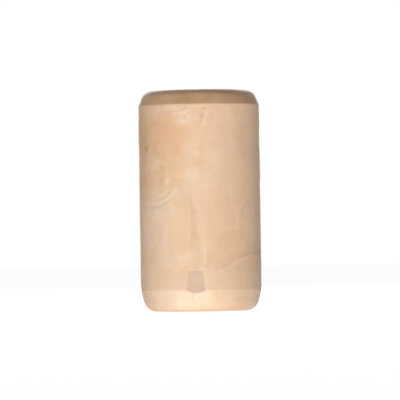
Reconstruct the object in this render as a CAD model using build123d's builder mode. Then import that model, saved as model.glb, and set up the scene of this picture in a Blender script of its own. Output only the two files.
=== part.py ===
"""Synthetic wine cork, injection moulded in one piece from foamed elastomer.

The cork stands on its foot: the origin is the centre of the foot face, +Z runs up the axis
and -Y faces the gate, where the melt entered the mould. All sizes are in millimetres.
"""

import os
from math import atan2, degrees, radians, sqrt, tan

from build123d import *

# Overall size
diameter = 23.0
length = 42.0

# Bevel at each end: its height, its slope from the axis and the rounding at the end face
foot_bevel_height = 4.0
foot_bevel_slope = 15.0
foot_corner_radius = 2.6
head_bevel_height = 2.9
head_bevel_slope = 22.0
head_corner_radius = 2.1

# Rounding of the line where each bevel meets the barrel
bevel_line_radius = 0.5

# Gate scar: a flat shaved off the barrel, which runs out on the foot bevel
gate_height = 3.9
gate_width_at_foot = 3.8
gate_width_at_head = 3.0

# Sink mark: a shallow channel that starts at the gate and fades out up the barrel
sink_length = 12.5
sink_width = 1.8
sink_floor_radius = 20.0

# Parting line of the two mould halves: a fine groove up the front and up the back, which
# passes the gate's middle on its -X side and stops short of both end faces
parting_angle = 3.5
parting_end_gap = 1.4
parting_width = 0.24
parting_depth = 0.03

radius = diameter / 2
foot_edge_radius = radius - foot_bevel_height * tan(radians(foot_bevel_slope))
head_edge_radius = radius - head_bevel_height * tan(radians(head_bevel_slope))
head_bevel_start = length - head_bevel_height
gate_top = foot_bevel_height + gate_height


def sagitta(circle_radius, chord):
    """Height of the arc that a chord cuts off a circle."""
    return circle_radius - sqrt(circle_radius**2 - (chord / 2) ** 2)


def end_corner(sketch, end):
    """The outer corner of a half section at its lower (0) or upper (-1) end face."""
    return sketch.vertices().group_by(Axis.Y)[end].sort_by(Axis.X)[-1]


# Half section of the turned form, with its bevels and rounded corners
with BuildSketch(Plane.XZ) as half_section:
    with BuildLine():
        Polyline(
            (0, 0),
            (foot_edge_radius, 0),
            (radius, foot_bevel_height),
            (radius, head_bevel_start),
            (head_edge_radius, length),
            (0, length),
            close=True,
        )
    make_face()
    fillet(end_corner(half_section, 0), foot_corner_radius)
    fillet(end_corner(half_section, -1), head_corner_radius)
    fillet(half_section.vertices().group_by(Axis.X)[-1], bevel_line_radius)

# Side view of what the gate flat takes away, a little deeper at the foot than at the head
gate_depth_at_foot = sagitta(radius, gate_width_at_foot)
gate_depth_at_head = sagitta(radius, gate_width_at_head)
gate_lean = (gate_depth_at_foot - gate_depth_at_head) / gate_height
with BuildSketch(Plane.YZ) as gate_section:
    with BuildLine():
        Polyline(
            (gate_depth_at_head - radius, gate_top),
            (gate_depth_at_head - radius + gate_lean * gate_top, 0),
            (-diameter, 0),
            (-diameter, gate_top),
            close=True,
        )
    make_face()

# Round cutter of the sink mark, tilted so that the channel has faded out after sink_length
sink_depth = sagitta(radius, sink_width) + sagitta(sink_floor_radius, sink_width)
sink_tilt = degrees(atan2(sink_depth, sink_length))
sink_centre = Plane((0, sink_depth - radius - sink_floor_radius, gate_top))
sink_start = sink_centre.rotated((sink_tilt, 0, 0)).offset(-gate_height / 2)
with BuildSketch(sink_start) as sink_section:
    Circle(sink_floor_radius)

# Floor of the parting groove: the whole outline, moved in by the groove's depth
parting_plane = Plane.YZ.rotated((0, 0, -parting_angle))
with BuildSketch(parting_plane) as groove_floor:
    add(half_section.sketch_local)
    mirror(about=Plane.YZ)
    offset(amount=-parting_depth)

# The groove takes what lies outside its floor, between the two gaps that it leaves at the ends
groove_length = length - 2 * parting_end_gap
with BuildSketch(parting_plane) as groove_section:
    with Locations((0, parting_end_gap)):
        Rectangle(2 * diameter, groove_length, align=(Align.CENTER, Align.MIN))
    add(groove_floor.sketch_local, mode=Mode.SUBTRACT)

with BuildPart() as cork:
    revolve(half_section.sketch, axis=Axis.Z)
    extrude(gate_section.sketch, amount=radius, both=True, mode=Mode.SUBTRACT)
    extrude(sink_section.sketch, amount=2 * sink_length, mode=Mode.SUBTRACT)
    extrude(groove_section.sketch, amount=parting_width / 2, both=True, mode=Mode.SUBTRACT)

cork.part.label = "cork"
os.makedirs("parts", exist_ok=True)
export_step(cork.part, "parts/cork.step")
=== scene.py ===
"""The looks of a moulded synthetic wine cork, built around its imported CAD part.

The cork is one piece: a fine mesh that follows the CAD solid and adds the shallow relief that the
melt left in the mould. Marks on its side have places (arc, height): arc is the way round the barrel
from the middle of the gate, positive towards +X, and height is along the axis. The mesh is in
metres. The marks' places, widths and depths are in millimetres.
"""

import random
from math import cos, pi, radians, sin, tan

import bpy
import numpy as np
from mathutils import Euler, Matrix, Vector, noise


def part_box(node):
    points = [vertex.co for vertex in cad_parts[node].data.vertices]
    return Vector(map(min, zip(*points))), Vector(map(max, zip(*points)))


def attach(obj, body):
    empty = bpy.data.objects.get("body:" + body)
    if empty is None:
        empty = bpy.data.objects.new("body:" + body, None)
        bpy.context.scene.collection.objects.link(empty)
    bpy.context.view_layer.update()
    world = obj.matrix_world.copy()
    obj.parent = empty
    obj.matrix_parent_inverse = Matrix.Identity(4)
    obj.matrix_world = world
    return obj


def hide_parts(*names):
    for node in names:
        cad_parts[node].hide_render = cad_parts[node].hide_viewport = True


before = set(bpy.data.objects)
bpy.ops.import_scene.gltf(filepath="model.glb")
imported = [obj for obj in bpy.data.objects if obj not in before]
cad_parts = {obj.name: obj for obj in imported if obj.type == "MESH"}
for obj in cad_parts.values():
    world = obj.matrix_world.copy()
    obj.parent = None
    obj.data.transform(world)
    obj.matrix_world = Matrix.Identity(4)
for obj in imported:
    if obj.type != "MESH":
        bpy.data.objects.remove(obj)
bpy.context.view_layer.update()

MM = 0.001

# The solid's dimensions: the overall ones from the frame, the others as in the CAD part
LOW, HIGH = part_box("cork")
LENGTH = HIGH.z - LOW.z
RADIUS = (HIGH.x - LOW.x) / 2
FOOT_BEVEL_HEIGHT, FOOT_BEVEL_SLOPE, FOOT_CORNER_RADIUS = 4.0 * MM, radians(15), 2.6 * MM
HEAD_BEVEL_HEIGHT, HEAD_BEVEL_SLOPE, HEAD_CORNER_RADIUS = 2.9 * MM, radians(22), 2.1 * MM
BEVEL_LINE_RADIUS = 0.5 * MM
GATE_HEIGHT = 3.9 * MM
GATE_WIDTH_AT_FOOT, GATE_WIDTH_AT_HEAD = 3.8 * MM, 3.0 * MM
SINK_LENGTH, SINK_WIDTH, SINK_FLOOR_RADIUS = 12.5 * MM, 1.8 * MM, 20.0 * MM
PARTING_ANGLE = radians(3.5)
PARTING_WIDTH, PARTING_DEPTH, PARTING_END_GAP = 0.24 * MM, 0.03 * MM, 1.4 * MM

GATE_TOP = FOOT_BEVEL_HEIGHT + GATE_HEIGHT
PARTING_ARC = -PARTING_ANGLE * RADIUS
TURN = 2 * pi * RADIUS

# How fine the mesh is. Rounds is a multiple of 8, because the end faces are square grids.
ROUNDS = 376
ROWS = 184


# ---- The solid's surface ----


def sagitta(circle_radius, chord):
    """Height of the arc that a chord cuts off a circle."""
    return circle_radius - np.sqrt(circle_radius**2 - (chord / 2) ** 2)


def rounded_corner(before, corner, after, radius, steps=16):
    """Points of the arc that rounds the corner between two straight runs."""
    before, corner, after = (np.array(p, float) for p in (before, corner, after))
    way_in = (before - corner) / np.linalg.norm(before - corner)
    way_out = (after - corner) / np.linalg.norm(after - corner)
    half_angle = np.arccos(way_in @ way_out) / 2
    centre = corner + (way_in + way_out) / np.linalg.norm(way_in + way_out) * radius / sin(half_angle)
    start = corner + way_in * radius / tan(half_angle)
    end = corner + way_out * radius / tan(half_angle)
    first = np.arctan2(*(start - centre)[::-1])
    turn = (np.arctan2(*(end - centre)[::-1]) - first + pi) % (2 * pi) - pi
    angles = first + turn * np.linspace(0, 1, steps)
    return [centre + radius * np.array((cos(a), sin(a))) for a in angles]


def half_section():
    """The turned outline as (radius, height), from the foot face's edge up to the head face's edge."""
    foot_edge = (RADIUS - FOOT_BEVEL_HEIGHT * tan(FOOT_BEVEL_SLOPE), 0)
    foot_line = (RADIUS, FOOT_BEVEL_HEIGHT)
    head_line = (RADIUS, LENGTH - HEAD_BEVEL_HEIGHT)
    head_edge = (RADIUS - HEAD_BEVEL_HEIGHT * tan(HEAD_BEVEL_SLOPE), LENGTH)
    points = rounded_corner((0, 0), foot_edge, foot_line, FOOT_CORNER_RADIUS)
    points += rounded_corner(foot_edge, foot_line, head_line, BEVEL_LINE_RADIUS, steps=8)
    points += rounded_corner(foot_line, head_line, head_edge, BEVEL_LINE_RADIUS, steps=8)
    points += rounded_corner(head_line, head_edge, (0, LENGTH), HEAD_CORNER_RADIUS)
    return np.array(points)


def spread(count, length, spots):
    """Places from 0 to length, closer together at each spot, given as (place, width, strength)."""
    fine_steps = 4000
    fine = np.linspace(0, length, fine_steps)
    density = np.ones_like(fine)
    for place, width, strength in spots:
        density += strength * np.exp(-(((fine - place) / width) ** 2))
    total = np.concatenate(([0], np.cumsum((density[1:] + density[:-1]) / 2)))
    return np.interp(np.linspace(0, total[-1], count), total, fine)


def side_rows():
    """Radius and height of each row of the side, denser at the corners, bevel lines and gate."""
    outline = half_section()
    runs = np.linalg.norm(np.diff(outline, axis=0), axis=1)
    path = np.concatenate(([0], np.cumsum(runs)))

    def along(height):
        return np.interp(height, outline[:, 1], path)

    spots = [
        (along(0.4 * MM), 0.9 * MM, 1.4),
        (along(FOOT_BEVEL_HEIGHT), 0.35 * MM, 2.5),
        (along(GATE_TOP), 0.3 * MM, 4.0),
        (along(LENGTH - HEAD_BEVEL_HEIGHT), 0.35 * MM, 2.5),
        (along(LENGTH - 0.4 * MM), 0.9 * MM, 1.4),
    ]
    places = spread(ROWS, path[-1], spots)
    return np.interp(places, path, outline[:, 0]), np.interp(places, path, outline[:, 1])


def round_arcs():
    """Arc of each column, from the back round the front to the back, denser at the parting lines."""
    middle = TURN / 2
    spots = [
        (middle + PARTING_ARC, 0.3 * MM, 5.0),
        (middle - GATE_WIDTH_AT_FOOT / 2, 0.5 * MM, 1.5),
        (middle + GATE_WIDTH_AT_FOOT / 2, 0.5 * MM, 1.5),
        (TURN + PARTING_ARC, 0.3 * MM, 5.0),
    ]
    return spread(ROUNDS + 1, TURN, spots)[:-1] - middle


def cuts(radius, arc, height):
    """The side's radius once the gate flat, the sink mark and the parting groove are cut."""
    groove_floor = radius - PARTING_DEPTH * parting_line(arc, height) * seam_share(height)
    angle = arc / RADIUS
    depth_at_foot = sagitta(RADIUS, GATE_WIDTH_AT_FOOT)
    depth_at_head = sagitta(RADIUS, GATE_WIDTH_AT_HEAD)
    share = (GATE_TOP - height) / GATE_HEIGHT
    flat = RADIUS - depth_at_head - (depth_at_foot - depth_at_head) * share
    in_front = np.abs(angle) < pi / 3
    in_gate = in_front & (height < GATE_TOP)
    radius = np.where(in_gate, np.minimum(radius, flat / np.cos(np.where(in_front, angle, 0))), radius)

    sink_depth = sagitta(RADIUS, SINK_WIDTH) + sagitta(SINK_FLOOR_RADIUS, SINK_WIDTH)
    deepest = sink_depth * (1 - (height - GATE_TOP) / SINK_LENGTH)
    bulge = arc**2 / 2 * (1 / RADIUS + 1 / SINK_FLOOR_RADIUS)
    sink = np.where(height >= GATE_TOP, np.maximum(deepest - bulge, 0), 0)

    return np.minimum(radius - sink, groove_floor)


def parting_line(arc, height):
    """1 in the middle of the parting groove, front and back, falling to 0 at its edges."""
    to_front = np.abs(arc - PARTING_ARC)
    to_back = np.abs(np.abs(arc - PARTING_ARC) - TURN / 2)
    across = np.clip(1 - (np.minimum(to_front, to_back) / (0.55 * PARTING_WIDTH)) ** 2, 0, 1)
    from_ends = np.minimum(height, LENGTH - height) - PARTING_END_GAP
    return across * np.clip(from_ends / (0.5 * MM), 0, 1)


def seam_share(height):
    """How much of the parting groove shows: the melt has nearly filled it above the sink mark."""
    return np.interp(height, (19 * MM, 24 * MM), (1.0, 0.3))


def surface():
    """Points and quads of the whole skin: the side's grid and a square grid on each end face."""
    radii, heights = side_rows()
    arcs = round_arcs()
    arc, height = np.meshgrid(arcs, heights)
    radius = cuts(np.broadcast_to(radii[:, None], arc.shape), arc, height)
    angle = arc / RADIUS
    side = np.stack((radius * np.sin(angle), -radius * np.cos(angle), height), axis=-1)
    points = [side.reshape(-1, 3)]
    index = np.arange(ROWS * ROUNDS).reshape(ROWS, ROUNDS)
    following = np.roll(index, -1, axis=1)
    quads = [np.stack((index[:-1], following[:-1], following[1:], index[1:]), axis=-1).reshape(-1, 4)]
    made = ROWS * ROUNDS
    for row, facing_up in ((0, False), (ROWS - 1, True)):
        inner, grid = end_face(arcs / RADIUS, radii[row], heights[row], index[row], made)
        points.append(inner)
        made += len(inner)
        cells = np.stack((grid[:-1, :-1], grid[1:, :-1], grid[1:, 1:], grid[:-1, 1:]), axis=-1)
        cells = cells.reshape(-1, 4)
        quads.append(cells if facing_up else cells[:, ::-1])
    return np.concatenate(points), np.concatenate(quads)


def end_face(angles, radius, height, rim, made):
    """A disc as a square grid whose edge is the side's end row: its inner points and its indices."""
    cells = ROUNDS // 4
    place = np.linspace(-1, 1, cells + 1)
    x, y = np.meshgrid(place, place, indexing="ij")
    ring = np.maximum(np.abs(x), np.abs(y))
    with np.errstate(invalid="ignore", divide="ignore"):
        u, v = np.nan_to_num(x / ring), np.nan_to_num(y / ring)
    # The way round each square ring, from the back's middle, clockwise seen from below
    way = np.select(
        [(v >= 1) & (u <= 0), u <= -1, v <= -1, u >= 1, v >= 1],
        [-u, 1 + (1 - v), 3 + (1 + u), 5 + (1 + v), 7 + (1 - u)],
    )
    column = way / 8 * ROUNDS
    angle = np.interp(column, np.arange(ROUNDS + 1), np.append(angles, angles[0] + 2 * pi))
    even = -pi + way / 8 * 2 * pi
    angle = even + (angle - even) * ring**2
    inner = ring < 1 - 0.5 / cells
    grid = np.zeros(ring.shape, int)
    grid[~inner] = rim[np.round(column[~inner]).astype(int) % ROUNDS]
    grid[inner] = made + np.arange(inner.sum())
    out = radius * ring[inner]
    points = np.stack((out * np.sin(angle[inner]), -out * np.cos(angle[inner]),
                       np.full(out.shape, height)), axis=-1)
    return points, grid


# ---- Marks on the side ----


def smooth(value, width):
    """0 well below zero and 1 well above it, with a soft step of that width."""
    x = np.clip(value / width + 0.5, 0, 1)
    return x * x * (3 - 2 * x)


def wander(points, scale, size, shift):
    """A smooth noise of that amplitude at each point. Shift picks a different part of the pattern."""
    offset = Vector((shift, -shift, 2 * shift))
    return size * np.array([noise.fractal(Vector(p) / scale + offset, 0.8, 2.1, 3) for p in points])


def curve_through(places, steps=40):
    """A smooth line through a few places in (arc, height) millimetres, as even steps in metres."""
    places = np.array(places, float) * MM
    ends = np.concatenate(([2 * places[0] - places[1]], places, [2 * places[-1] - places[-2]]))
    line = []
    for a, b, c, d in zip(ends, ends[1:], ends[2:], ends[3:]):
        for t in np.linspace(0, 1, steps, endpoint=False):
            line.append(0.5 * (2 * b + (c - a) * t + (2 * a - 5 * b + 4 * c - d) * t**2
                               + (3 * b - a - 3 * c + d) * t**3))
    line.append(places[-1])
    return np.array(line)


class Skin:
    """The skin's points with their arc and height, and what each mark adds there."""

    def __init__(self, points, normals):
        self.points = points
        self.normals = normals
        self.arc = np.arctan2(points[:, 0], -points[:, 1]) * RADIUS
        self.height = points[:, 2]
        self.on_side = smooth(np.hypot(normals[:, 0], normals[:, 1]) - 0.5, 0.4)
        self.relief = np.zeros(len(points))
        self.fields = {}

    def tint(self, name, amount):
        """Adds to a named field, which the material reads, and keeps the larger value."""
        kept = self.fields.get(name, np.zeros(len(self.points)))
        self.fields[name] = np.maximum(kept, np.clip(amount, 0, 1))

    def closeness(self, places, width):
        """1 on a line through the places and 0 away from it, thinning out towards the line's ends."""
        line = curve_through(places)
        reach = 4 * width
        taper = 0.25
        low, high = line.min(axis=0) - reach, line.max(axis=0) + reach
        here = np.stack((self.arc, self.height), axis=1)
        near = np.flatnonzero(np.all((here > low) & (here < high), axis=1))
        result = np.zeros(len(self.points))
        if len(near) == 0:
            return result
        gaps = np.linalg.norm(here[near, None] - line[None], axis=2)
        nearest = gaps.argmin(axis=1)
        share = nearest / (len(line) - 1)
        thin = smooth(share - taper / 2, taper) * smooth(1 - taper / 2 - share, taper)
        result[near] = np.exp(-((gaps.min(axis=1) / width) ** 2)) * (0.15 + 0.85 * thin)
        return result * self.on_side

    def fold(self, places, width, depth, tone=1.0, side=1):
        """A flow fold: a furrow with a low ridge along one side of it, painted shade in the furrow
        and a painted highlight on the ridge. All in millimetres."""
        width, depth = width * MM, depth * MM
        furrow_shade_and_streak = self.closeness(places, width)
        ridge_highlight_and_streak = self.closeness(beside(places, side * 1.7 * width / MM), width)
        self.relief += depth * (0.6 * ridge_highlight_and_streak - furrow_shade_and_streak)
        # Painted shade in the furrow and a painted highlight on the ridge
        self.tint("furrow_shade_and_streak", tone * furrow_shade_and_streak)
        self.tint("ridge_highlight_and_streak", 0.7 * tone * ridge_highlight_and_streak)

    def streak(self, places, width, name, amount):
        """A coloured line with no relief. Places and width are in millimetres."""
        self.tint(name, amount * self.closeness(places, width * MM))

    def spot(self, arc, height, across, up, name, amount):
        """A soft oval spot. All in millimetres."""
        far = ((self.arc / MM - arc) / across) ** 2 + ((self.height / MM - height) / up) ** 2
        self.tint(name, amount * np.exp(-far) * self.on_side)


def beside(places, shift):
    """The same places moved sideways, to the left of the line's direction."""
    line = np.array(places, float)
    way = np.gradient(line, axis=0)
    way /= np.linalg.norm(way, axis=1, keepdims=True)
    return line + shift * np.stack((-way[:, 1], way[:, 0]), axis=1)


def add_swirl(skin):
    """The curled folds to the left, where the melt turned back on itself. Their dark and pale lines are
    painted shade and painted highlights.
    """
    skin.fold([(-14.5, 22.6), (-12.6, 22.0), (-10.2, 21.8), (-8.2, 21.6)], 0.45, 0.012, 0.25)
    skin.fold([(-8.0, 22.0), (-7.2, 22.5), (-6.2, 23.0), (-5.6, 23.7)], 0.24, 0.015, 0.45)
    skin.fold([(-8.2, 21.1), (-7.0, 21.3), (-5.9, 21.7), (-5.2, 22.3), (-4.8, 22.9)], 0.28, 0.024, 0.6)
    skin.spot(-6.1, 21.7, 0.5, 0.28, "furrow_shade_and_streak", 0.6)
    skin.fold([(-11.2, 19.9), (-8.6, 19.9), (-6.9, 20.1), (-5.4, 20.9), (-4.2, 21.8)], 0.32, 0.024, 0.6)
    skin.spot(-8.0, 20.0, 1.2, 0.26, "furrow_shade_and_streak", 0.4)
    skin.spot(-5.6, 20.9, 0.5, 0.3, "furrow_shade_and_streak", 0.35)
    skin.fold([(-7.0, 18.9), (-5.4, 19.5), (-4.2, 20.5)], 0.26, 0.012, 0.3)
    skin.fold([(-9.5, 24.6), (-7.7, 24.8), (-6.6, 25.6), (-6.0, 26.8)], 0.35, 0.012, 0.2)
    skin.spot(-5.55, 24.7, 0.58, 0.72, "ridge_highlight_and_streak", 1.0)
    skin.spot(-5.95, 23.5, 0.40, 0.55, "ridge_highlight_and_streak", 0.8)
    skin.spot(-8.4, 27.6, 0.9, 0.7, "ridge_highlight_and_streak", 0.3)
    skin.streak([(-8.0, 21.9), (-7.0, 22.2), (-5.9, 22.9), (-5.4, 23.6)], 0.30, "ridge_highlight_and_streak", 0.8)
    pale_line = [(-7.8, 20.2), (-7.0, 20.6), (-5.4, 21.5), (-4.0, 22.4), (-3.4, 23.9)]
    skin.streak(pale_line, 0.50, "ridge_highlight_and_streak", 0.7)
    skin.streak([(-7.8, 28.5), (-6.4, 28.2), (-5.6, 27.5), (-5.3, 26.6)], 0.40, "ridge_highlight_and_streak", 0.4)
    skin.streak([(-6.6, 25.6), (-5.2, 26.2), (-4.2, 27.0)], 0.50, "ridge_highlight_and_streak", 0.25)


def add_wrinkles(skin):
    """Pale wrinkles under the head bevel, a pale patch and the dark smudge beside it. The wrinkles'
    pale and dark lines are painted highlights and painted shade.
    """
    skin.fold([(-10.2, 37.7), (-6.7, 37.9), (-4.4, 37.8), (-3.0, 37.9)], 0.18, 0.02, 0.35)
    skin.fold([(-5.0, 38.0), (-3.4, 37.9), (-2.2, 38.0), (-1.2, 38.5)], 0.14, 0.03, 0.5)
    skin.streak([(-6.8, 38.5), (-5.2, 38.3), (-3.8, 38.3), (-2.6, 38.5)], 0.16, "ridge_highlight_and_streak", 0.6)
    skin.streak([(-4.6, 37.5), (-3.2, 37.4), (-1.8, 37.55), (-0.4, 38.1)], 0.24, "ridge_highlight_and_streak", 0.9)
    skin.spot(-2.0, 37.45, 0.9, 0.36, "ridge_highlight_and_streak", 1.0)
    skin.spot(-1.8, 36.0, 1.6, 1.0, "ridge_highlight_and_streak", 0.75)
    skin.spot(-1.0, 36.8, 0.7, 0.6, "ridge_highlight_and_streak", 0.8)
    skin.fold([(-2.5, 36.9), (-1.7, 36.6), (-1.0, 36.9)], 0.16, 0.012, 0.3)
    skin.spot(1.6, 36.85, 0.46, 0.62, "furrow_shade_and_streak", 1.0)
    skin.spot(1.25, 36.1, 0.38, 0.50, "furrow_shade_and_streak", 0.6)
    skin.spot(1.85, 38.3, 0.40, 0.32, "furrow_shade_and_streak", 1.0)
    skin.streak([(2.5, 38.2), (2.3, 37.0), (2.0, 35.8), (1.6, 34.4)], 0.30, "ridge_highlight_and_streak", 0.5)


def add_crease(skin):
    """The long crease across the lower right, and the lines that run into it. The dark tone along the
    crease is painted shade.
    """
    skin.fold([(1.9, 7.0), (3.6, 7.6), (5.4, 8.5), (7.4, 9.3)], 0.28, 0.01, 0.28, -1)
    skin.fold([(5.0, 8.3), (7.4, 9.4), (9.0, 10.2), (11.5, 10.7), (19.5, 10.4)], 0.30, 0.02, 0.5, -1)
    skin.streak([(4.4, 8.0), (6.0, 8.7), (7.6, 9.5)], 0.38, "furrow_shade_and_streak", 0.7)
    right_half = [(8.2, 9.8), (9.2, 10.3), (11.5, 10.8), (14.5, 10.9), (19.5, 10.4)]
    skin.streak(right_half, 0.36, "furrow_shade_and_streak", 0.85)
    skin.spot(5.6, 8.9, 1.0, 0.5, "furrow_shade_and_streak", 0.5)
    skin.spot(7.2, 9.9, 1.0, 0.6, "furrow_shade_and_streak", 0.35)
    skin.streak([(9.0, 10.8), (12.0, 11.6), (18.0, 11.3)], 0.8, "furrow_shade_and_streak", 0.3)
    skin.streak([(8.7, 10.0), (8.4, 8.6), (8.5, 7.0), (8.8, 5.2)], 0.35, "furrow_shade_and_streak", 0.25)
    skin.fold([(17.8, 10.5), (21.5, 10.0), (24.5, 10.9)], 0.28, 0.02, 0.6, -1)


def add_stains(skin):
    """Small brown stains."""
    skin.spot(-11.1, 30.9, 0.65, 0.50, "stain", 0.9)
    skin.spot(-11.6, 32.4, 1.0, 2.4, "stain", 0.28)
    skin.spot(-0.4, 14.6, 0.35, 0.6, "stain", 0.20)
    skin.streak([(-2.6, 14.9), (-1.2, 15.0), (0.6, 14.9)], 0.14, "stain", 0.10)
    skin.streak([(-1.2, 18.9), (1.6, 18.8)], 0.14, "stain", 0.10)


def add_flow_streaks(skin):
    """Long faint streaks, where the melt ran along the mould."""
    skin.streak([(5.2, 29.0), (5.6, 25.0), (6.6, 21.0), (6.9, 18.5)], 0.45, "furrow_shade_and_streak", 0.18)
    skin.streak([(12.2, 21.5), (10.6, 19.8), (9.7, 18.4), (9.4, 16.5)], 0.42, "furrow_shade_and_streak", 0.4)
    skin.streak([(9.4, 17.0), (9.5, 13.5), (10.0, 11.2)], 0.40, "furrow_shade_and_streak", 0.22)
    skin.streak([(8.6, 20.0), (8.5, 17.5), (8.6, 13.0)], 0.45, "ridge_highlight_and_streak", 0.18)
    skin.streak([(1.75, 13.8), (1.8, 11.0), (1.8, 8.6)], 0.36, "ridge_highlight_and_streak", 0.35)
    skin.streak([(1.3, 17.8), (1.3, 16.0), (1.4, 14.4)], 0.30, "ridge_highlight_and_streak", 0.15)
    skin.streak([(4.0, 4.1), (4.1, 2.6), (4.0, 1.6)], 0.22, "furrow_shade_and_streak", 0.2)
    skin.streak([(-0.7, 3.9), (-0.7, 2.6), (-0.7, 1.2)], 0.18, "furrow_shade_and_streak", 0.35)
    chance = random.Random(12)
    for _ in range(34):
        start = chance.uniform(13, 60)
        # Starts past 34 mm go round the back to the other side
        place = np.array((start if start < 34 else start - 73, chance.uniform(5, 34)))
        lean, reach = chance.uniform(-1.6, 1.6), chance.uniform(3, 11)
        line = [place, place + (lean * 0.3, reach * 0.4), place + (lean, reach * 0.8)]
        name = chance.choice(("ridge_highlight_and_streak", "furrow_shade_and_streak"))
        skin.streak(line, chance.uniform(0.25, 0.7), name, chance.uniform(0.12, 0.38))


def add_far_folds(skin):
    """Smaller folds of the same kind on the far side, with the same painted shade and highlights."""
    skin.fold([(20.0, 26.4), (22.4, 26.0), (24.2, 26.8), (25.2, 28.2)], 0.30, 0.03, 0.8)
    skin.fold([(20.8, 25.0), (23.2, 24.8), (25.4, 25.8), (26.6, 27.6)], 0.34, 0.03, 0.8)
    skin.streak([(21.0, 27.2), (22.8, 27.0), (24.0, 28.0)], 0.35, "ridge_highlight_and_streak", 0.7)
    skin.fold([(-30.5, 14.5), (-27.5, 13.8), (-24.8, 14.8), (-22.8, 14.4)], 0.30, 0.03, 0.8, -1)
    skin.fold([(-26.5, 33.8), (-24.6, 33.2), (-23.2, 34.0)], 0.24, 0.02, 0.6)
    skin.spot(29.5, 18.5, 0.5, 0.45, "stain", 0.4)
    skin.spot(-19.5, 8.2, 0.45, 0.6, "stain", 0.35)
    skin.spot(24.3, 27.6, 0.45, 0.6, "ridge_highlight_and_streak", 0.8)


def add_patches(skin):
    """Broad fields of colour: amber to the upper left, blush to the right, and uneven spots."""
    arc = (skin.arc + wander(skin.points, 3.5 * MM, 1.8 * MM, 3.0)) / MM
    height = (skin.height + wander(skin.points, 3.5 * MM, 1.8 * MM, 11.0)) / MM
    lower_edge = np.maximum(23.0, 28.0 + 1.05 * (arc - 0.9))
    amber = smooth(0.6 - arc, 4.5) * smooth(height - lower_edge, 5.0) * smooth(arc + 20, 8)
    skin.tint("amber", amber * smooth(38.3 - height, 3))
    skin.spot(-7.5, 32.5, 5.0, 5.0, "amber", 1.0)
    skin.spot(25.5, 29.0, 5.0, 6.0, "amber", 0.8)
    skin.spot(-26.0, 13.0, 5.0, 7.0, "amber", 0.7)

    blush = smooth(arc - 1.4, 2.4) * smooth(20 - arc, 8)
    blush = blush * smooth(height - 8, 4) * smooth(42 - height, 4)
    skin.tint("blush", 0.5 * blush)
    skin.spot(-9.4, 24.6, 1.3, 1.2, "blush", 0.6)
    skin.spot(-8.6, 35.5, 1.4, 2.0, "blush", 0.6)
    skin.spot(-3.9, 31.5, 1.2, 1.6, "blush", 0.45)
    skin.spot(1.6, 30.4, 0.9, 0.7, "blush", 0.8)
    skin.spot(-9.6, 39.9, 3.4, 1.3, "blush", 1.0)
    skin.spot(-9.6, 39.9, 3.4, 1.3, "amber", 1.0)
    skin.spot(-6.5, 35.2, 3.0, 2.6, "blush", 0.6)
    skin.spot(9.6, 40.0, 1.6, 0.9, "blush", 0.6)
    skin.spot(-7.2, 14.5, 1.6, 4.0, "blush", 0.25)
    skin.spot(-13.0, 24.5, 2.2, 3.2, "olive", 0.8)
    skin.spot(-12.8, 32.5, 1.9, 4.5, "olive", 1.0)
    skin.spot(0.6, 28.3, 1.1, 1.0, "olive", 0.5)
    skin.spot(4.6, 23.0, 1.2, 3.0, "olive", 0.4)
    skin.spot(6.2, 28.0, 1.4, 4.0, "olive", 0.4)
    skin.spot(9.8, 34.0, 2.0, 4.0, "olive", 0.4)
    skin.spot(-2.0, 40.4, 2.2, 1.2, "olive", 1.0)
    skin.spot(-1.6, 40.3, 1.8, 1.0, "stain", 0.3)
    skin.spot(3.4, 40.6, 1.2, 0.9, "olive", 0.8)
    skin.spot(7.5, 40.9, 3.0, 0.8, "olive", 0.9)
    # Painted shade: this broad olive spot darkens the lower right of the front
    skin.spot(4.6, 12.5, 4.0, 9.0, "olive", 0.5)
    skin.spot(2.8, 9.6, 2.4, 2.6, "olive", 0.8)
    skin.spot(8.6, 5.0, 3.2, 4.4, "amber", 0.6)
    # Painted shade: a faint darkening low on the right, above the foot bevel
    skin.spot(8.2, 5.4, 3.6, 4.8, "grime_and_shade", 0.18)
    # Paler patches on the front of the body, in the foot bevel's pale tone
    skin.spot(-6.5, 18.5, 4.5, 7.0, "wear_and_highlight", 0.35)
    skin.spot(-2.6, 22.5, 2.6, 3.4, "wear_and_highlight", 0.05)
    skin.spot(5.0, 24.5, 3.0, 5.0, "wear_and_highlight", 0.2)
    skin.spot(27.0, 33.0, 3.0, 4.0, "olive", 0.6)
    skin.spot(-24.0, 27.0, 3.0, 6.0, "olive", 0.6)


def add_band(skin):
    """The olive band up the sink mark, leaning left above it, with a warm glow on its left."""
    arc, height = skin.arc / MM, skin.height / MM
    lean = np.clip(height - 18.7, 0, 4) * 0.35
    band_right = np.where(height < 14.0, 0.95, 0.45)
    band = smooth(arc + lean + 0.74, 0.4 + lean) * smooth(band_right - arc - lean, 0.7)
    fading = smooth(height - 7.4, 0.6) * smooth(22.6 - height, 3.5)
    fading = fading * np.interp(height, (12.5, 14.0, 16.0, 22.0), (0.7, 0.95, 0.85, 0.7))
    skin.tint("olive", band * fading * skin.on_side)
    skin.streak([(-1.2, 21.6), (-0.65, 19.6), (-0.55, 16.5), (-0.5, 13.2)], 0.22, "furrow_shade_and_streak", 0.25)
    skin.streak([(-2.0, 22.0), (-1.75, 20.5), (-1.5, 19.2)], 0.24, "amber", 0.9)
    glow = smooth(arc + lean + 3.6, 3.6) * smooth(-0.7 - lean - arc, 0.4)
    skin.tint("amber", 0.45 * glow * smooth(height - 6.5, 3) * smooth(24 - height, 3) * skin.on_side)


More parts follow.
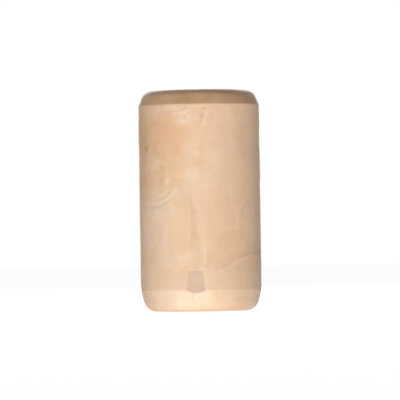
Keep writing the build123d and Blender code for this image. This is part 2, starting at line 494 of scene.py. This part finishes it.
def add_end_tones(skin):
    """The head bevel is darker and browner: handling grime and painted shade.
    The foot bevel is paler: wear, and a painted highlight most of all in front.
    """
    uneven = wander(skin.points, 3.0 * MM, 0.4, 51.0)
    # Painted shade with some grime: the head bevel darker and browner, unevenly
    head = smooth(skin.height - (LENGTH - HEAD_BEVEL_HEIGHT) - 0.1 * MM, 0.4 * MM)
    by_place = np.interp(skin.arc / MM, (-30, -16, -10, -2, 12, 30), (0.8, 0.35, 0.42, 1.0, 1.0, 0.8))
    skin.tint("grime_and_shade", head * (by_place + 0.5 * uneven) * (0.35 + 0.65 * skin.on_side))
    # Painted highlight with some wear: the foot bevel paler, most of all in front
    foot = smooth(FOOT_BEVEL_HEIGHT + 0.1 * MM - skin.height, 0.4 * MM) * skin.on_side
    in_front = np.exp(-(((skin.arc + 1.2 * MM) / (4.9 * MM)) ** 2))
    skin.tint("wear_and_highlight", foot * (0.2 + 0.8 * in_front) * (1 + 0.5 * uneven))


def add_gate(skin):
    """The rough, greyer face where the gate was cut off."""
    arc, height = skin.arc / MM, skin.height / MM
    bevel_line, top = FOOT_BEVEL_HEIGHT / MM, GATE_TOP / MM
    widest, narrowest = GATE_WIDTH_AT_FOOT / MM, GATE_WIDTH_AT_HEAD / MM
    flat_width = np.interp(height, [bevel_line, top], [widest, narrowest])
    # The flat runs out on the foot bevel in a shallow curve, lowest in its middle
    lowest = bevel_line - 0.5
    bottom = lowest + 0.5 * (2 * arc / widest) ** 2
    inside = smooth(flat_width / 2 - 0.1 - np.abs(arc), 0.6) * smooth(height - bottom, 0.35)
    inside = inside * smooth(top - 0.2 - height, 0.6) * skin.on_side
    skin.tint("gate", inside * np.interp(height, [lowest, 6.0], [1.0, 0.8]))
    # Painted shade: a dark line along the top of the flat, under its step
    skin.tint("furrow_shade_and_streak", 0.35 * inside * smooth(height - (top - 0.7), 0.5))
    skin.relief += inside * wander(skin.points, 0.5 * MM, 0.03 * MM, 21.0)


def add_unevenness(skin):
    """The skin's slow waviness, and a finer one on top of it."""
    skin.relief += wander(skin.points, 6.0 * MM, 0.05 * MM, 31.0)
    skin.relief += wander(skin.points, 1.6 * MM, 0.012 * MM, 41.0)


def vertex_normals(points, quads):
    """Unit normals of the points, from the quads' diagonals."""
    corners = points[quads]
    normal = np.cross(corners[:, 2] - corners[:, 0], corners[:, 3] - corners[:, 1])
    total = np.zeros_like(points)
    for corner in range(4):
        np.add.at(total, quads[:, corner], normal)
    return total / np.linalg.norm(total, axis=1, keepdims=True)


def make_skin():
    """The whole cork as one mesh, with its relief, kept inside the CAD solid's box."""
    points, quads = surface()
    skin = Skin(points, vertex_normals(points, quads))
    add_unevenness(skin)
    add_swirl(skin)
    add_wrinkles(skin)
    add_crease(skin)
    add_stains(skin)
    add_flow_streaks(skin)
    add_far_folds(skin)
    add_patches(skin)
    add_band(skin)
    add_end_tones(skin)
    add_gate(skin)
    # Painted shade along the parting groove, left out on the gate face
    seam_shade = parting_line(skin.arc, skin.height) * seam_share(skin.height) * skin.on_side
    seam_shade = seam_shade * (1 - skin.fields["gate"])
    skin.tint("seam_shade", seam_shade * np.clip(0.6 + wander(points, 5 * MM, 0.6, 61.0), 0.1, 1))
    points = points + skin.normals * skin.relief[:, None]
    points = np.clip(points, LOW, HIGH)

    mesh = bpy.data.meshes.new("moulded_cork")
    mesh.from_pydata(points.tolist(), [], quads.tolist())
    mesh.shade_smooth()
    for name, amount in skin.fields.items():
        mesh.attributes.new(name, "FLOAT", "POINT").data.foreach_set("value", amount.astype(np.float32))
    cork = bpy.data.objects.new("moulded_cork", mesh)
    bpy.context.scene.collection.objects.link(cork)
    return cork


# ---- The foam's material ----


class Nodes:
    """Short ways to add and join shader nodes in one material."""

    def __init__(self, name):
        self.material = bpy.data.materials.new(name)
        self.material.use_nodes = True
        self.tree = self.material.node_tree
        self.tree.nodes.clear()
        self.object_place = self.add("ShaderNodeTexCoord").outputs["Object"]

    def add(self, kind, **settings):
        """A new node of that kind with those settings."""
        node = self.tree.nodes.new(kind)
        for key, value in settings.items():
            setattr(node, key, value)
        return node

    def join(self, value, socket):
        """Links an output to a socket, or sets the socket's own value."""
        if isinstance(value, bpy.types.NodeSocket):
            self.tree.links.new(value, socket)
        else:
            socket.default_value = value

    def field(self, name):
        """One of the skin's named fields."""
        return self.add("ShaderNodeAttribute", attribute_name=name).outputs["Fac"]

    def math(self, operation, a, b):
        """The result of one operation on two values."""
        node = self.add("ShaderNodeMath", operation=operation)
        self.join(a, node.inputs[0])
        self.join(b, node.inputs[1])
        return node.outputs[0]

    def noise(self, size, stretch=(1, 1, 1), detail=3, roughness=0.5, distortion=0.0, shift=0.0):
        """Noise whose features are about that size, in metres, squeezed along each axis by stretch."""
        mapping = self.add("ShaderNodeMapping")
        self.join(self.object_place, mapping.inputs["Vector"])
        mapping.inputs["Scale"].default_value = stretch
        mapping.inputs["Location"].default_value = (shift, shift, shift)
        texture = self.add("ShaderNodeTexNoise")
        self.join(mapping.outputs[0], texture.inputs["Vector"])
        texture.inputs["Scale"].default_value = 1 / size
        texture.inputs["Detail"].default_value = detail
        texture.inputs["Roughness"].default_value = roughness
        texture.inputs["Distortion"].default_value = distortion
        return texture.outputs["Fac"]

    def levels(self, value, low, high, to_low=0.0, to_high=1.0):
        """Maps low..high to to_low..to_high with a smooth step."""
        node = self.add("ShaderNodeMapRange", interpolation_type="SMOOTHSTEP")
        for socket, amount in zip(node.inputs, (value, low, high, to_low, to_high)):
            self.join(amount, socket)
        return node.outputs[0]

    def mix(self, share, a, b, blend_type="MIX"):
        """Colour a with that share of colour b. Inputs 6 and 7 and output 2 are the colour sockets."""
        node = self.add("ShaderNodeMix", data_type="RGBA", blend_type=blend_type)
        self.join(share, node.inputs[0])
        for socket, colour in ((node.inputs[6], a), (node.inputs[7], b)):
            self.join(colour if isinstance(colour, bpy.types.NodeSocket) else (*colour, 1), socket)
        return node.outputs[2]

    def bump(self, height, depth, normal=None):
        """A normal bent by a height of that depth, in metres."""
        node = self.add("ShaderNodeBump")
        node.inputs["Distance"].default_value = depth
        self.join(height, node.inputs["Height"])
        if normal is not None:
            self.join(normal, node.inputs["Normal"])
        return node.outputs[0]


TAN = (0.85, 0.605, 0.41)
PALE_TAN = (0.88, 0.64, 0.45)
GATE_GREY = (0.61, 0.44, 0.315)
# Colours of painted shade in furrows and painted highlights on ridges, also used for dark and pale
# streaks
FURROW_SHADE_AND_STREAK = (0.55, 0.37, 0.25)
RIDGE_HIGHLIGHT_AND_STREAK = (0.95, 0.74, 0.54)
STAIN = (0.50, 0.27, 0.09)

# Tones that multiply the colour under them
AMBER_TONE = (0.99, 0.885, 0.76)
BLUSH_TONE = (0.99, 0.89, 0.87)
OLIVE_TONE = (0.89, 0.865, 0.78)
GRIME_AND_SHADE_TONE = (0.71, 0.645, 0.535)
WEAR_AND_HIGHLIGHT_TONE = (1.08, 1.20, 1.28)
DULL_TONE = (0.88, 0.84, 0.78)
SHADE_TONE = (0.80, 0.75, 0.68)
WARM_TONE = (1.0, 0.985, 0.96)
COOL_TONE = (0.99, 1.0, 1.03)
DIM_TONE = (0.98, 0.975, 0.97)
LIT_TONE = (1.01, 1.01, 1.01)


def foam_material():
    """Matt tan elastomer with marbled flow marks, faint pores and a rough-cut gate."""
    nodes = Nodes("foam")
    clouds = nodes.noise(7 * MM, detail=3, distortion=1.2)
    hue_blotches = nodes.noise(5.0 * MM, stretch=(1, 1, 0.6), detail=2, distortion=0.8, shift=0.1)
    light_blotches = nodes.noise(2.2 * MM, detail=2, distortion=0.8, shift=0.2)
    grain = nodes.noise(1.5 * MM, stretch=(1, 1, 0.22), detail=3, distortion=0.6, shift=0.3)
    mottle = nodes.noise(0.45 * MM, detail=4, roughness=0.6, shift=0.7)

    colour = nodes.mix(nodes.levels(clouds, 0.35, 0.68), TAN, PALE_TAN)
    warmth = nodes.mix(nodes.levels(hue_blotches, 0.35, 0.65), WARM_TONE, COOL_TONE)
    colour = nodes.mix(1.0, colour, warmth, "MULTIPLY")
    lightness = nodes.mix(nodes.levels(light_blotches, 0.35, 0.65), DIM_TONE, LIT_TONE)
    colour = nodes.mix(1.0, colour, lightness, "MULTIPLY")
    amber = nodes.math("MULTIPLY", nodes.field("amber"), nodes.levels(clouds, 0.3, 0.65, 1.0, 0.6))
    colour = nodes.mix(amber, colour, AMBER_TONE, "MULTIPLY")
    colour = nodes.mix(nodes.field("blush"), colour, BLUSH_TONE, "MULTIPLY")
    colour = nodes.mix(nodes.field("olive"), colour, OLIVE_TONE, "MULTIPLY")
    # Painted highlight on the foot bevel and painted shade on the head bevel, with wear and grime
    colour = nodes.mix(nodes.field("wear_and_highlight"), colour, WEAR_AND_HIGHLIGHT_TONE, "MULTIPLY")
    colour = nodes.mix(nodes.field("grime_and_shade"), colour, GRIME_AND_SHADE_TONE, "MULTIPLY")
    colour = nodes.mix(nodes.levels(grain, 0.3, 0.7, 0.0, 0.16), colour, DULL_TONE, "MULTIPLY")
    colour = nodes.mix(nodes.levels(mottle, 0.3, 0.7, 0.0, 0.12), colour, SHADE_TONE, "MULTIPLY")
    # Painted highlights on fold ridges and painted shade in furrows and the crease, with pale and dark
    # streaks
    colour = nodes.mix(nodes.math("MULTIPLY", nodes.field("ridge_highlight_and_streak"), 0.75), colour, RIDGE_HIGHLIGHT_AND_STREAK)
    colour = nodes.mix(nodes.math("MULTIPLY", nodes.field("furrow_shade_and_streak"), 0.5), colour, FURROW_SHADE_AND_STREAK)
    colour = nodes.mix(nodes.math("MULTIPLY", nodes.field("stain"), 0.8), colour, STAIN)
    colour = nodes.mix(nodes.math("MULTIPLY", nodes.field("gate"), 0.9), colour, GATE_GREY)
    # Painted shade in the parting groove
    colour = nodes.mix(nodes.math("MULTIPLY", nodes.field("seam_shade"), 0.35), colour, FURROW_SHADE_AND_STREAK)

    pores = nodes.noise(0.25 * MM, detail=2, shift=0.9)
    normal = nodes.bump(nodes.levels(pores, 0.25, 0.6), 0.006 * MM)
    normal = nodes.bump(mottle, 0.02 * MM, normal)

    shader = nodes.add("ShaderNodeBsdfPrincipled")
    nodes.join(colour, shader.inputs["Base Color"])
    nodes.join(nodes.levels(mottle, 0.2, 0.8, 0.48, 0.66), shader.inputs["Roughness"])
    nodes.join(normal, shader.inputs["Normal"])
    shader.inputs["IOR"].default_value = 1.45
    shader.inputs["Specular IOR Level"].default_value = 0.4
    output = nodes.add("ShaderNodeOutputMaterial")
    nodes.join(shader.outputs[0], output.inputs["Surface"])
    return nodes.material


# ---- Floor, light and camera ----

MIDDLE = Vector((0, 0, LENGTH / 2))

FLOOR_HALF = 3.0
FLOOR_GAP = 0.05 * MM
FLOOR_ALBEDO = 0.5
# Added where the floor is seen directly. With the lamps' light it reaches white.
FLOOR_GLOW = 0.86
AMBIENT = 0.22


def camera_share(tree):
    """A socket that is 1 for camera, glossy and transmission rays and 0 for the rest."""
    path = tree.nodes.new("ShaderNodeLightPath")
    share = path.outputs["Is Camera Ray"]
    for kind in ("Is Glossy Ray", "Is Transmission Ray"):
        either = tree.nodes.new("ShaderNodeMath")
        either.operation = "MAXIMUM"
        tree.links.new(share, either.inputs[0])
        tree.links.new(path.outputs[kind], either.inputs[1])
        share = either.outputs[0]
    return share


def add_floor():
    """A plain pale floor that shows white and keeps the cork's soft shadow."""
    mesh = bpy.data.meshes.new("floor")
    level = LOW.z - FLOOR_GAP
    signs = ((-1, -1), (1, -1), (1, 1), (-1, 1))
    corners = [(x * FLOOR_HALF, y * FLOOR_HALF, level) for x, y in signs]
    mesh.from_pydata(corners, [], [(0, 1, 2, 3)])
    floor = bpy.data.objects.new("floor", mesh)
    bpy.context.scene.collection.objects.link(floor)
    material = bpy.data.materials.new("floor")
    material.use_nodes = True
    tree = material.node_tree
    tree.nodes.clear()
    diffuse = tree.nodes.new("ShaderNodeBsdfDiffuse")
    diffuse.inputs["Color"].default_value = (FLOOR_ALBEDO,) * 3 + (1,)
    glow = tree.nodes.new("ShaderNodeEmission")
    strength = tree.nodes.new("ShaderNodeMath")
    strength.operation = "MULTIPLY"
    strength.inputs[1].default_value = FLOOR_GLOW
    tree.links.new(camera_share(tree), strength.inputs[0])
    tree.links.new(strength.outputs[0], glow.inputs["Strength"])
    both = tree.nodes.new("ShaderNodeAddShader")
    tree.links.new(diffuse.outputs[0], both.inputs[0])
    tree.links.new(glow.outputs[0], both.inputs[1])
    output = tree.nodes.new("ShaderNodeOutputMaterial")
    tree.links.new(both.outputs[0], output.inputs["Surface"])
    mesh.materials.append(material)
    # The low lamp stands under the floor's level, so the floor casts no shadow of its own
    floor.visible_shadow = False


def add_world():
    """White behind the object, and a soft even light from all round."""
    world = bpy.data.worlds.new("studio")
    bpy.context.scene.world = world
    world.use_nodes = True
    tree = world.node_tree
    background = tree.nodes["Background"]
    strength = tree.nodes.new("ShaderNodeMapRange")
    strength.inputs["To Min"].default_value = AMBIENT
    strength.inputs["To Max"].default_value = 1.0
    tree.links.new(camera_share(tree), strength.inputs["Value"])
    tree.links.new(strength.outputs[0], background.inputs["Strength"])
    background.inputs["Color"].default_value = (1, 1, 1, 1)


def add_lamp(name, azimuth, elevation, distance, size, irradiance):
    """A square soft lamp aimed at the cork's middle. Azimuth 0 is in front, at -Y, and positive is
    towards +X. Irradiance is what it gives a white surface that faces it, where 1 renders as white."""
    lamp = bpy.data.lights.new(name, "AREA")
    lamp.shape = "SQUARE"
    lamp.size = size
    lamp.energy = irradiance * pi**2 * distance**2
    thing = bpy.data.objects.new(name, lamp)
    bpy.context.scene.collection.objects.link(thing)
    way = direction(azimuth, elevation)
    thing.location = MIDDLE + distance * way
    thing.rotation_euler = way.to_track_quat("Z", "Y").to_euler()
    thing.visible_camera = False


def direction(azimuth, elevation):
    """Unit vector from the cork towards a place at that azimuth and elevation, in degrees."""
    a, e = radians(azimuth), radians(elevation)
    return Vector((sin(a) * cos(e), -cos(a) * cos(e), sin(e)))


CAMERA_AZIMUTH = 5.0
CAMERA_DISTANCE = 0.9
CAMERA_HEIGHT = 11 * MM
CAMERA_ROLL = 0.85
VIEW_WIDTH = 76.25 * MM
AIM_HEIGHT = 21.15 * MM
SENSOR = 36.0


def add_camera():
    """A long lens a little below the cork's middle, turned slightly to its right."""
    data = bpy.data.cameras.new("camera")
    data.sensor_width = SENSOR
    data.lens = SENSOR * CAMERA_DISTANCE / VIEW_WIDTH
    data.clip_start = 0.01
    data.clip_end = 20
    camera = bpy.data.objects.new("camera", data)
    bpy.context.scene.collection.objects.link(camera)
    place = CAMERA_DISTANCE * direction(CAMERA_AZIMUTH, 0)
    place.z = CAMERA_HEIGHT
    camera.location = place
    look = Vector((0, 0, AIM_HEIGHT)) - place
    facing = look.to_track_quat("-Z", "Y")
    roll = Euler((0, 0, radians(-CAMERA_ROLL))).to_quaternion()
    camera.rotation_euler = (facing @ roll).to_euler()
    bpy.context.scene.camera = camera


cork = make_skin()
cork.data.materials.append(foam_material())
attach(cork, "root")
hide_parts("cork")

add_floor()
add_world()
add_lamp("low_key", azimuth=1, elevation=-28, distance=0.5, size=0.3, irradiance=1.02)
add_lamp("back_top", azimuth=185, elevation=20, distance=0.6, size=0.4, irradiance=0.8)
add_camera()
bpy.context.scene.view_settings.view_transform = "Standard"
